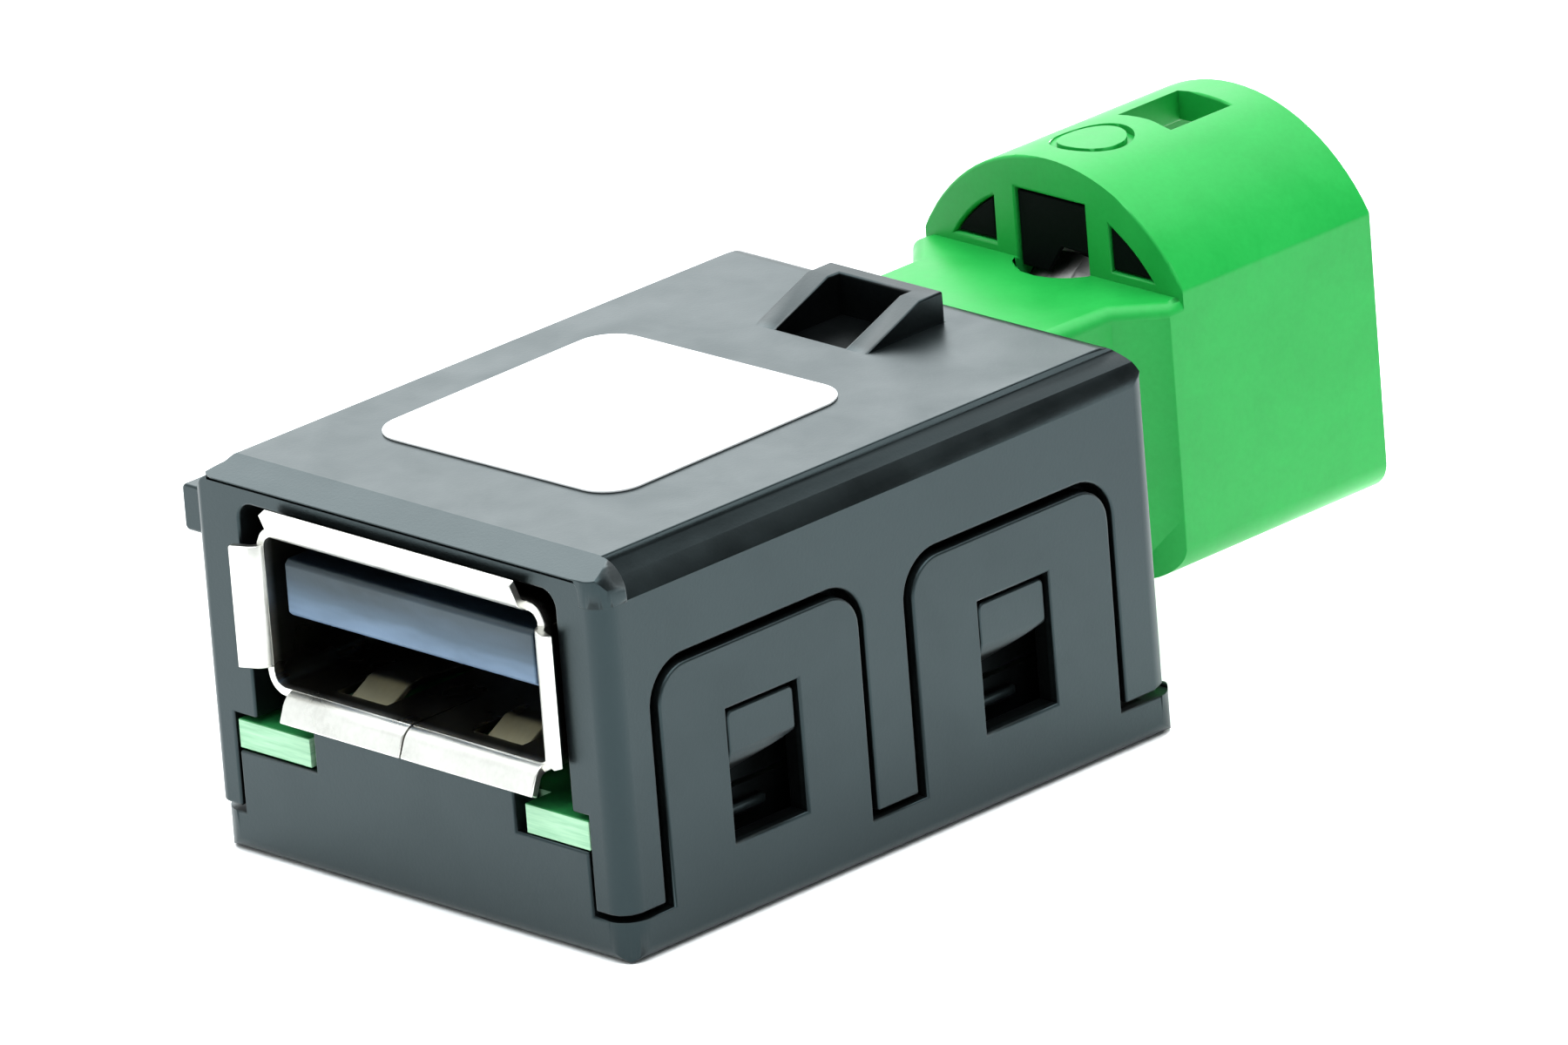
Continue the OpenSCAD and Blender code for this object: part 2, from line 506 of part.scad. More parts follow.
// A surface-mount chip with a metal cap at each end.
module chip(x, y, l, w, h) place() translate([x, y, board_top]) union() {
    translate([-w / 2 + 0.03, -l / 2 + 0.1, 0.03]) cube([w - 0.06, l - 0.2, h - 0.06]);
    for (s = [-1, 1]) translate([-w / 2, s * (l / 2 - 0.2) - 0.2, 0]) cube([w, 0.4, h]);
}
module bypass_capacitor() color([0.72, 0.6, 0.45]) chip(6.0, 20.2, 2, 1.25, 0.9);
module ferrite_bead() color([0.3, 0.3, 0.32]) chip(-6.0, 20.4, 1.6, 0.8, 0.8);
module common_mode_choke() color([0.35, 0.33, 0.32]) place() translate([6.0, 16.8, board_top]) union() {
    translate([-0.6, -1, 0.05]) cube([1.2, 2, 0.3]);
    translate([-0.5, -0.55, 0.3]) cube([1, 1.1, 0.6]);
    translate([-0.6, -1, 0.8]) cube([1.2, 2, 0.3]);
    for (a = [-1, 1], b = [-1, 1]) translate([a * 0.4 - 0.2, b * 0.8 - 0.2, 0]) cube([0.4, 0.4, 0.3]);
}
module esd_array() color([0.1, 0.1, 0.11]) place() translate([-5.95, 15.55, board_top]) union() {
    translate([-0.75, -1.45, 0.1]) cube([1.5, 2.9, 1]);
    for (a = [-1, 1], y = [-0.95, 0, 0.95]) translate([a > 0 ? 0.7 : -1.22, y - 0.2, 0]) union() {
        cube([0.52, 0.4, 0.15]);
        translate([a > 0 ? 0 : 0.32, 0, 0]) cube([0.2, 0.4, 0.6]);
    }
}

upper_housing();
lower_housing();
label();
usb_shell();
usb_insulator();
usb_contact_power();
usb_contact_data_minus();
usb_contact_data_plus();
usb_contact_ground();
circuit_board();
rear_connector_housing();
rear_connector_shield();
rear_connector_insulator();
rear_connector_lock();
rear_pin_power();
rear_pin_data_minus();
rear_pin_data_plus();
rear_pin_ground();
common_mode_choke();
esd_array();
bypass_capacitor();
ferrite_bead();
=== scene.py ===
import bpy
import bmesh
import math
from mathutils import Matrix, Vector
from mathutils.bvhtree import BVHTree
from mathutils.geometry import intersect_point_line


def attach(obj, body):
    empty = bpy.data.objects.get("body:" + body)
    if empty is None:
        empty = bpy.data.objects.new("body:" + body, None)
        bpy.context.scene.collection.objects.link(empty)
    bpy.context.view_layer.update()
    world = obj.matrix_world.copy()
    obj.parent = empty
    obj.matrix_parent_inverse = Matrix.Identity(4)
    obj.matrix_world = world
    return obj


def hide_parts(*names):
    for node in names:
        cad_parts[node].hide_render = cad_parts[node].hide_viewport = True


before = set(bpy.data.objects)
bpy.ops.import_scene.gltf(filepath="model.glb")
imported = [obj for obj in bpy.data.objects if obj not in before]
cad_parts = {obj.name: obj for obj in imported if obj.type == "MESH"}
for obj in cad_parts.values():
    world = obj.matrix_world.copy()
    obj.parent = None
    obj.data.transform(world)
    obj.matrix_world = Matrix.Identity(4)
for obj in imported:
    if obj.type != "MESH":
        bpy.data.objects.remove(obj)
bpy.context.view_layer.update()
MM = 0.001
FRONT = -12.475          # the housing's front face along Y, in mm
scene = bpy.context.scene
scene.view_settings.view_transform = "Standard"
scene.view_settings.look = "None"


# ---------------------------------------------------------------- camera and light

def make_camera():
    data = bpy.data.cameras.new("camera")
    data.sensor_fit = "HORIZONTAL"
    data.sensor_width = 36.0
    data.lens = 464.843
    data.clip_start, data.clip_end = 0.02, 20.0
    cam = bpy.data.objects.new("camera", data)
    scene.collection.objects.link(cam)
    right = Vector((0.70494601, 0.70523704, -0.07544427))
    up = Vector((-0.19624175, 0.29615891, 0.93476151))
    back = Vector((0.68157193, -0.64415108, 0.34717299))
    place = Vector((442.992, -401.733 + FRONT, 233.307)) * MM
    cam.matrix_world = Matrix(((right.x, up.x, back.x, place.x), (right.y, up.y, back.y, place.y),
                               (right.z, up.z, back.z, place.z), (0, 0, 0, 1)))
    scene.camera = cam


def link(tree, a, b):
    tree.links.new(a, b)


def node(tree, kind, **values):
    n = tree.nodes.new(kind)
    for k, v in values.items():
        if k.startswith("i_"):
            n.inputs[k[2:].replace("_", " ")].default_value = v
        else:
            setattr(n, k, v)
    return n


def math_node(tree, op, a, b=None, c=None, clamp=False):
    n = tree.nodes.new("ShaderNodeMath")
    n.operation = op
    n.use_clamp = clamp
    for i, x in enumerate((a, b, c)):
        if x is None:
            continue
        if isinstance(x, (int, float)):
            n.inputs[i].default_value = x
        else:
            tree.links.new(x, n.inputs[i])
    return n.outputs[0]


def ramp(tree, fac, stops, interpolation="LINEAR"):
    n = tree.nodes.new("ShaderNodeValToRGB")
    n.color_ramp.interpolation = interpolation
    el = n.color_ramp.elements
    while len(el) < len(stops):
        el.new(0.5)
    for e, (p, c) in zip(el, stops):
        e.position = p
        e.color = c if len(c) == 4 else (*c, 1.0)
    tree.links.new(fac, n.inputs[0])
    return n.outputs[0]


def make_world():
    """A white studio: a softbox overhead, one behind the left, darker behind the right and behind the camera."""
    world = bpy.data.worlds.new("studio")
    scene.world = world
    world.use_nodes = True
    tree = world.node_tree
    tree.nodes.clear()
    out = tree.nodes.new("ShaderNodeOutputWorld")
    back = tree.nodes.new("ShaderNodeBackground")
    link(tree, back.outputs[0], out.inputs[0])
    coord = tree.nodes.new("ShaderNodeTexCoord")

    def lobe(direction, inner, outer):
        d = Vector(direction).normalized()
        dot = node(tree, "ShaderNodeVectorMath", operation="DOT_PRODUCT")
        link(tree, coord.outputs["Generated"], dot.inputs[0])
        dot.inputs[1].default_value = d
        m = node(tree, "ShaderNodeMapRange", interpolation_type="SMOOTHSTEP")
        link(tree, dot.outputs["Value"], m.inputs["Value"])
        m.inputs["From Min"].default_value = math.cos(math.radians(outer))
        m.inputs["From Max"].default_value = math.cos(math.radians(inner))
        return m.outputs["Result"]

    level = 1.3
    for direction, inner, outer, strength in (
            ((0.08, -0.05, 0.99), 26, 50, 4.4),       # softbox overhead
            ((-0.66, 0.46, 0.60), 4, 28, 3.1)):       # softbox behind the left
        level = math_node(tree, "MULTIPLY_ADD", lobe(direction, inner, outer), strength, level)
    # dark corner of the room behind the right
    level = math_node(tree, "MULTIPLY", level, math_node(tree, "MULTIPLY_ADD", lobe((0.66, 0.66, 0.34), 20, 42), -0.92, 1.0))
    # less light from behind the camera
    level = math_node(tree, "MULTIPLY", level, math_node(tree, "MULTIPLY_ADD", lobe((0.55, -0.78, 0.28), 20, 62), -0.68, 1.0))
    link(tree, level, back.inputs["Strength"])
    back.inputs["Color"].default_value = (0.95, 1.0, 1.01, 1.0)


def make_back_light():
    """A small lamp low behind the part that fills the shadow under the rear connector."""
    data = bpy.data.lights.new("back_light", "SPOT")
    data.energy = 0.5
    data.spot_size = math.radians(42)
    data.spot_blend = 1.0
    data.shadow_soft_size = 0.006
    lamp = bpy.data.objects.new("back_light", data)
    scene.collection.objects.link(lamp)
    lamp.location = Vector((-16.0, FRONT + 82.0, 14.0)) * MM
    aim = Vector((3.0, FRONT + 34.0, 0.0)) * MM
    lamp.rotation_euler = (aim - lamp.location).to_track_quat("-Z", "Y").to_euler()


def make_floor():
    mesh = bpy.data.meshes.new("floor")
    s, z = 3.0, -0.00001
    mesh.from_pydata([(-s, -s, z), (s, -s, z), (s, s, z), (-s, s, z)], [], [(0, 1, 2, 3)])
    floor = bpy.data.objects.new("floor", mesh)
    scene.collection.objects.link(floor)
    mat, tree, bsdf, coord = new_material("floor_paper")
    noise = node(tree, "ShaderNodeTexNoise", i_Scale=60.0, i_Detail=4.0)
    link(tree, coord, noise.inputs["Vector"])
    link(tree, ramp(tree, noise.outputs["Fac"], [(0.3, (0.90, 0.90, 0.90)), (0.7, (0.93, 0.93, 0.93))]), bsdf.inputs["Base Color"])
    bsdf.inputs["Roughness"].default_value = 0.9
    bsdf.inputs["Specular IOR Level"].default_value = 0.0
    mesh.materials.append(mat)


# ---------------------------------------------------------------- materials

def new_material(name):
    mat = bpy.data.materials.new(name)
    mat.use_nodes = True
    tree = mat.node_tree
    tree.nodes.clear()
    out = tree.nodes.new("ShaderNodeOutputMaterial")
    bsdf = tree.nodes.new("ShaderNodeBsdfPrincipled")
    link(tree, bsdf.outputs[0], out.inputs[0])
    coord = tree.nodes.new("ShaderNodeTexCoord")
    return mat, tree, bsdf, coord.outputs["Object"]


def bump(tree, bsdf, heights):
    """Stacks (height socket, strength, distance in metres) as bumps on a shader."""
    normal = None
    for socket, strength, distance in heights:
        b = tree.nodes.new("ShaderNodeBump")
        b.inputs["Strength"].default_value = strength
        b.inputs["Distance"].default_value = distance
        link(tree, socket, b.inputs["Height"])
        if normal is not None:
            link(tree, normal, b.inputs["Normal"])
        normal = b.outputs["Normal"]
    link(tree, normal, bsdf.inputs["Normal"])


def noise(tree, coord, scale, detail=2.0, rough=0.5, distortion=0.0, stretch=None):
    n = tree.nodes.new("ShaderNodeTexNoise")
    n.inputs["Scale"].default_value = scale
    n.inputs["Detail"].default_value = detail
    n.inputs["Roughness"].default_value = rough
    n.inputs["Distortion"].default_value = distortion
    if stretch:
        m = tree.nodes.new("ShaderNodeMapping")
        m.inputs["Scale"].default_value = stretch
        link(tree, coord, m.inputs["Vector"])
        coord = m.outputs["Vector"]
    link(tree, coord, n.inputs["Vector"])
    return n.outputs["Fac"]


def within(tree, socket, low, high, soft):
    """1 where the value lies between low and high, fading to 0 over soft (all in mm)."""
    up = node(tree, "ShaderNodeMapRange", interpolation_type="SMOOTHSTEP")
    link(tree, socket, up.inputs["Value"])
    up.inputs["From Min"].default_value = (low - soft) * MM
    up.inputs["From Max"].default_value = low * MM
    down = node(tree, "ShaderNodeMapRange", interpolation_type="SMOOTHSTEP")
    link(tree, socket, down.inputs["Value"])
    down.inputs["From Min"].default_value = (high + soft) * MM
    down.inputs["From Max"].default_value = high * MM
    return math_node(tree, "MULTIPLY", up.outputs["Result"], down.outputs["Result"])


def moulded(name, low, high, rough, tint=None, level=0.5, grain=0.3, ior=1.5, painted_shade_inside=False):
    """Moulded plastic: an eroded fine grain, faint flow clouds in colour and gloss. The last flag paints shade into
    the housing: it takes most of the reflection off its gaps, the inside of its windows and what lies behind them, and
    off the lug's pocket, and about half of it off the lug."""
    mat, tree, bsdf, coord = new_material(name)
    cloud = noise(tree, coord, 380.0, 3.0, 0.55, 0.4)
    speck = noise(tree, coord, 5200.0, 2.0, 0.6)
    mixed = math_node(tree, "MULTIPLY_ADD", speck, 0.35, math_node(tree, "MULTIPLY", cloud, 0.65))
    link(tree, ramp(tree, mixed, [(0.32, low), (0.68, high)]), bsdf.inputs["Base Color"])
    link(tree, ramp(tree, cloud, [(0.3, (rough - 0.05,) * 3), (0.7, (rough + 0.05,) * 3)]), bsdf.inputs["Roughness"])
    fine = noise(tree, coord, 9000.0, 3.0, 0.55)
    wave = noise(tree, coord, 650.0, 2.0, 0.5)
    bump(tree, bsdf, [(fine, grain, 0.000012), (wave, 0.1, 0.00002)])
    bsdf.inputs["IOR"].default_value = ior
    if painted_shade_inside:
        # painted shade inside the housing's walls, in its gaps and windows: the reflection there is taken down to a
        # tenth
        sep = tree.nodes.new("ShaderNodeSeparateXYZ")
        link(tree, coord, sep.inputs[0])
        across = math_node(tree, "ABSOLUTE", sep.outputs["X"])
        inner = math_node(tree, "MULTIPLY", within(tree, across, -1.0, 9.0, 0.16), within(tree, sep.outputs["Y"], FRONT + 1.6, FRONT + 23.4, 0.2))
        inner = math_node(tree, "MULTIPLY", inner, within(tree, sep.outputs["Z"], 0.7, 11.6, 0.2))
        # painted shade in the lug's pocket too
        pocket = math_node(tree, "MULTIPLY", within(tree, sep.outputs["X"], -1.76, 1.46, 0.02), within(tree, sep.outputs["Y"], FRONT + 18.97, FRONT + 21.92, 0.02))
        inner = math_node(tree, "MAXIMUM", inner, math_node(tree, "MULTIPLY", pocket, within(tree, sep.outputs["Z"], 12.8, 14.3, 0.02)))
        # painted shade on the lug: its reflection is cut by about half against the top
        lug = node(tree, "ShaderNodeMapRange")
        link(tree, sep.outputs["Z"], lug.inputs["Value"])
        lug.inputs["From Min"].default_value = 13.32 * MM
        lug.inputs["From Max"].default_value = 13.42 * MM
        lug.inputs["To Max"].default_value = 0.5
        inner = math_node(tree, "MAXIMUM", inner, lug.outputs["Result"])
        # the ledges' outer faces are kept out of the painted shade, so they keep their full reflection
        inner = math_node(tree, "MULTIPLY", inner, math_node(tree, "SUBTRACT", 1.0, within(tree, across, 7.9, 8.06, 0.04)))
        gloss = node(tree, "ShaderNodeMapRange")
        link(tree, inner, gloss.inputs["Value"])
        gloss.inputs["To Min"].default_value = level
        gloss.inputs["To Max"].default_value = 0.05
        link(tree, gloss.outputs["Result"], bsdf.inputs["Specular IOR Level"])
    else:
        bsdf.inputs["Specular IOR Level"].default_value = level
    if tint:
        bsdf.inputs["Specular Tint"].default_value = (*tint, 1.0)
    return mat


def plated(name, low, high, rough, stretch, painted_dark_inside=False):
    """Plated sheet metal: rolling lines along the sheet, a little haze and a few specks. The last flag paints shade
    inside the shell's mouth, with a painted highlight on its two lower spring fingers.
    """
    mat, tree, bsdf, coord = new_material(name)
    line = noise(tree, coord, 900.0, 4.0, 0.6, 0.0, stretch)
    haze = noise(tree, coord, 500.0, 3.0, 0.5, 0.3)
    mixed = math_node(tree, "MULTIPLY_ADD", line, 0.5, math_node(tree, "MULTIPLY", haze, 0.5))
    colour = ramp(tree, mixed, [(0.3, low), (0.7, high)])
    if painted_dark_inside:
        # painted shade inside the shell: from 0.5 mm behind its front the colour is multiplied down to about 0.12
        sep = tree.nodes.new("ShaderNodeSeparateXYZ")
        link(tree, coord, sep.inputs[0])
        m = node(tree, "ShaderNodeMapRange", interpolation_type="SMOOTHSTEP")
        link(tree, sep.outputs["Y"], m.inputs["Value"])
        m.inputs["From Min"].default_value = (FRONT + 0.12) * MM
        m.inputs["From Max"].default_value = (FRONT + 0.5) * MM
        # painted highlight on the two lower spring fingers, where light reaches them: they get less of the painted
        # shade, and a rougher finish
        off = math_node(tree, "ABSOLUTE", math_node(tree, "SUBTRACT", math_node(tree, "ABSOLUTE", sep.outputs["X"]), 3.1 * MM))
        along = math_node(tree, "ABSOLUTE", math_node(tree, "SUBTRACT", sep.outputs["Y"], (FRONT + 1.5) * MM))
        finger_fade = node(tree, "ShaderNodeMapRange", interpolation_type="SMOOTHSTEP")
        link(tree, along, finger_fade.inputs["Value"])
        finger_fade.inputs["From Min"].default_value = 0.85 * MM
        finger_fade.inputs["From Max"].default_value = 0.45 * MM
        finger = math_node(tree, "MULTIPLY", math_node(tree, "LESS_THAN", off, 0.95 * MM), math_node(tree, "LESS_THAN", sep.outputs["Z"], 6.6 * MM))
        finger = math_node(tree, "MULTIPLY", finger, finger_fade.outputs["Result"])
        painted_inside_tone = node(tree, "ShaderNodeMix", data_type="RGBA")
        link(tree, finger, painted_inside_tone.inputs["Factor"])
        painted_inside_tone.inputs["A"].default_value = (0.12, 0.115, 0.10, 1.0)
        painted_inside_tone.inputs["B"].default_value = (0.44, 0.42, 0.31, 1.0)
        mix = node(tree, "ShaderNodeMix", data_type="RGBA", blend_type="MULTIPLY")
        link(tree, m.outputs["Result"], mix.inputs["Factor"])
        link(tree, colour, mix.inputs["A"])
        link(tree, painted_inside_tone.outputs["Result"], mix.inputs["B"])
        colour = mix.outputs["Result"]
    link(tree, colour, bsdf.inputs["Base Color"])
    gloss = ramp(tree, haze, [(0.3, (rough - 0.06,) * 3), (0.7, (rough + 0.07,) * 3)])
    if painted_dark_inside:
        gloss = math_node(tree, "MULTIPLY_ADD", finger, 0.3, gloss)
    link(tree, gloss, bsdf.inputs["Roughness"])
    bump(tree, bsdf, [(line, 0.18, 0.000006)])
    bsdf.inputs["Metallic"].default_value = 1.0
    return mat


def tongue_plastic():
    """Blue-grey plastic, paler towards the tongue's lower edge: painted shade darkens it towards the top, under the
    shell's roof.
    """
    mat, tree, bsdf, coord = new_material("tongue_plastic")
    sep = tree.nodes.new("ShaderNodeSeparateXYZ")
    link(tree, coord, sep.inputs[0])
    cloud = noise(tree, coord, 420.0, 3.0, 0.6, 0.3, (0.5, 1.0, 1.6))
    speck = noise(tree, coord, 5200.0, 2.0, 0.6)
    # painted shade: the colour darkens towards the top of the tongue, under the shell's roof
    m = node(tree, "ShaderNodeMapRange", interpolation_type="SMOOTHSTEP")
    link(tree, sep.outputs["Z"], m.inputs["Value"])
    m.inputs["From Min"].default_value = 8.4 * MM
    m.inputs["From Max"].default_value = 10.5 * MM
    height = math_node(tree, "ADD", m.outputs["Result"], math_node(tree, "MULTIPLY", math_node(tree, "SUBTRACT", cloud, 0.5), 0.7))
    link(tree, ramp(tree, height, [(0.0, (0.105, 0.162, 0.255)), (0.45, (0.034, 0.059, 0.095)), (1.0, (0.005, 0.010, 0.017))]), bsdf.inputs["Base Color"])
    link(tree, ramp(tree, cloud, [(0.3, (0.36,) * 3), (0.7, (0.48,) * 3)]), bsdf.inputs["Roughness"])
    bump(tree, bsdf, [(speck, 0.3, 0.000012), (cloud, 0.25, 0.00002)])
    bsdf.inputs["Specular Tint"].default_value = (0.78, 0.95, 1.0, 1.0)
    return mat


def label_film():
    mat, tree, bsdf, coord = new_material("label_film")
    fibre = noise(tree, coord, 2600.0, 4.0, 0.6)
    cloud = noise(tree, coord, 260.0, 2.0, 0.5)
    link(tree, ramp(tree, cloud, [(0.3, (0.86, 0.865, 0.865)), (0.7, (0.91, 0.91, 0.905))]), bsdf.inputs["Base Color"])
    link(tree, ramp(tree, fibre, [(0.3, (0.42,) * 3), (0.7, (0.55,) * 3)]), bsdf.inputs["Roughness"])
    bump(tree, bsdf, [(fibre, 0.15, 0.000008), (cloud, 0.2, 0.00002)])
    return mat


def board_laminate():
    """Green mask on the faces, pale glass fibre with fine layers on the cut edges."""
    mat, tree, bsdf, coord = new_material("board")
    geo = tree.nodes.new("ShaderNodeNewGeometry")
    sep = tree.nodes.new("ShaderNodeSeparateXYZ")
    link(tree, geo.outputs["Normal"], sep.inputs[0])
    edge = math_node(tree, "LESS_THAN", math_node(tree, "ABSOLUTE", sep.outputs["Z"]), 0.7)
    weave = noise(tree, coord, 1500.0, 3.0, 0.6)
    mask = ramp(tree, weave, [(0.3, (0.012, 0.16, 0.04)), (0.7, (0.02, 0.23, 0.06))])
    layers = noise(tree, coord, 900.0, 3.0, 0.6, 0.0, (0.6, 0.6, 9.0))
    fibre = ramp(tree, layers, [(0.3, (0.20, 0.43, 0.25)), (0.7, (0.34, 0.58, 0.38))])
    mix = node(tree, "ShaderNodeMix", data_type="RGBA")
    link(tree, edge, mix.inputs["Factor"])
    link(tree, mask, mix.inputs["A"])
    link(tree, fibre, mix.inputs["B"])
    link(tree, mix.outputs["Result"], bsdf.inputs["Base Color"])
    link(tree, ramp(tree, weave, [(0.3, (0.35,) * 3), (0.7, (0.5,) * 3)]), bsdf.inputs["Roughness"])
    bump(tree, bsdf, [(weave, 0.2, 0.00001), (layers, 0.2, 0.00001)])
    return mat


def capped_chip(name, low, high, middle_y, reach):
    """Ceramic or ferrite body with tinned ends, told apart by the distance from the chip's middle."""
    mat, tree, bsdf, coord = new_material(name)
    sep = tree.nodes.new("ShaderNodeSeparateXYZ")
    link(tree, coord, sep.inputs[0])
    off = math_node(tree, "ABSOLUTE", math_node(tree, "SUBTRACT", sep.outputs["Y"], middle_y))
    cap = math_node(tree, "GREATER_THAN", off, reach)
    grain = noise(tree, coord, 7000.0, 3.0, 0.6)
    body = ramp(tree, grain, [(0.3, low), (0.7, high)])
    tin = ramp(tree, grain, [(0.3, (0.60, 0.60, 0.60)), (0.7, (0.74, 0.74, 0.73))])
    mix = node(tree, "ShaderNodeMix", data_type="RGBA")
    link(tree, cap, mix.inputs["Factor"])
    link(tree, body, mix.inputs["A"])
    link(tree, tin, mix.inputs["B"])
    link(tree, mix.outputs["Result"], bsdf.inputs["Base Color"])
    link(tree, cap, bsdf.inputs["Metallic"])
    bsdf.inputs["Roughness"].default_value = 0.45
    bump(tree, bsdf, [(grain, 0.2, 0.000008)])
    return mat


# ---------------------------------------------------------------- shapes

def reach_in_face(edge, face):
    """How far the face runs inwards from an edge, before it meets another of its edges."""
    a, b = edge.verts[0].co, edge.verts[1].co
    n = face.normal
    d = n.cross(b - a)
    if d.length < 1e-12:
        return 0.0
    d.normalize()
    if (face.calc_center_median() - (a + b) / 2).dot(d) < 0 and len(face.verts) < 5:
        d = -d
    else:
        loop = next(l for l in edge.link_loops if l.face == face)
        along = loop.link_loop_next.vert.co - loop.vert.co
        d = n.cross(along).normalized()
    best = 1.0
    for t in (0.12, 0.5, 0.88):
        p = a.lerp(b, t)
        for e in face.edges:
            if e is edge:
                continue
            u, v = e.verts[0].co, e.verts[1].co
            side = n.cross(d)
            du, dv = (u - p).dot(side), (v - p).dot(side)
            if du * dv > 0 or abs(du - dv) < 1e-12:
                continue
            w = du / (du - dv)
            s = (u.lerp(v, w) - p).dot(d)
            if s > 1e-7:
                best = min(best, s)
    return best


def welded(source):
    bm = bmesh.new()
    bm.from_mesh(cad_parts[source].data)
    bmesh.ops.remove_doubles(bm, verts=bm.verts, dist=2e-6)
    bmesh.ops.dissolve_limit(bm, angle_limit=math.radians(0.6), verts=bm.verts, edges=bm.edges)
    bm.normal_update()
    return bm


def rounded_mesh(bm, most, segments, name):
    """Bevels by the edges' weights and gives the result as a new mesh."""
    mesh = bpy.data.meshes.new(name)
    bm.to_mesh(mesh)
    obj = bpy.data.objects.new(name, mesh)
    scene.collection.objects.link(obj)
    bev = obj.modifiers.new("edges", "BEVEL")
    bev.limit_method = "WEIGHT"
    bev.width = most * MM
    bev.segments = segments
    bev.use_clamp_overlap = False
    bpy.context.view_layer.update()
    dg = bpy.context.evaluated_depsgraph_get()
    done = bpy.data.meshes.new_from_object(obj.evaluated_get(dg))
    bpy.data.objects.remove(obj)
    bpy.data.meshes.remove(mesh)
    return done


def faults(mesh, tree, limit):
    """Places where a rounded mesh leaves the solid it was made from, or cuts into it too far, or crosses itself."""
    bad = []
    for v in mesh.vertices:
        near, n, i, d = tree.find_nearest(v.co)
        out = (v.co - near).dot(n)
        if d > 4e-6 and (out > 4e-6 or d > limit):
            bad.append(v.co.copy())
    test = bmesh.new()
    test.from_mesh(mesh)
    bmesh.ops.triangulate(test, faces=test.faces)
    test.faces.ensure_lookup_table()
    for f in test.faces:
        c = f.calc_center_median()
        near, n, i, d = tree.find_nearest(c)
        if d > 4e-6 and ((c - near).dot(n) > 4e-6 or d > limit):
            bad.append(c)
        elif f.calc_area() > 1e-12 and d < 2e-6 and n.dot(f.normal) < 0.2:
            bad.append(c)
    test.free()
    return bad


def set_normals(obj, mesh, barrels=()):
    """Area-weighted normals over the rounded edges, and flat faces kept wholly flat beside them. barrels
    lists (x, z, radius) of rounds along Y, in mm, whose facets take the round's own normals."""
    wn = obj.modifiers.new("flat_faces", "WEIGHTED_NORMAL")
    wn.mode = "FACE_AREA"
    wn.weight = 60
    wn.keep_sharp = True
    bpy.context.view_layer.update()
    dg = bpy.context.evaluated_depsgraph_get()
    held = obj.evaluated_get(dg).to_mesh()
    normals = [Vector(c.vector) for c in held.corner_normals]
    obj.evaluated_get(dg).to_mesh_clear()
    obj.modifiers.remove(wn)
    sharp = {e.index for e in mesh.edges if e.use_edge_sharp}
    beside = {}
    for p in mesh.polygons:
        for l in p.loop_indices:
            beside.setdefault(mesh.loops[l].edge_index, []).append(p)
    curved = set()
    for i, pair in beside.items():
        if i in sharp or len(pair) != 2:
            continue
        a, b = pair
        if a.normal.angle(b.normal, 0.0) < math.radians(0.5):
            continue
        if b.area > 0.22 * a.area:
            curved.add(a.index)
        if a.area > 0.22 * b.area:
            curved.add(b.index)
    for again in range(3):
        for pair in beside.values():
            if len(pair) == 2 and pair[0].normal.angle(pair[1].normal, 0.0) < math.radians(0.1):
                small, large = sorted(pair, key=lambda f: f.area)
                if small.index in curved and large.index not in curved and large.area > 2.0 * small.area:
                    curved.discard(small.index)
    for p in mesh.polygons:
        if p.index not in curved:
            for l in p.loop_indices:
                normals[l] = p.normal.copy()
        for x, z, r in barrels:
            out = Vector((p.center.x - x * MM, 0.0, p.center.z - z * MM))
            if abs(out.length - r * MM) > 0.06 * MM or out.normalized().dot(p.normal) < 0.96:
                continue
            for l in p.loop_indices:
                co = mesh.vertices[mesh.loops[l].vertex_index].co
                out = Vector((co.x - x * MM, 0.0, co.z - z * MM))
                if abs(out.length - r * MM) < 0.03 * MM:
                    normals[l] = out.normalized()
    mesh.normals_split_custom_set(normals)


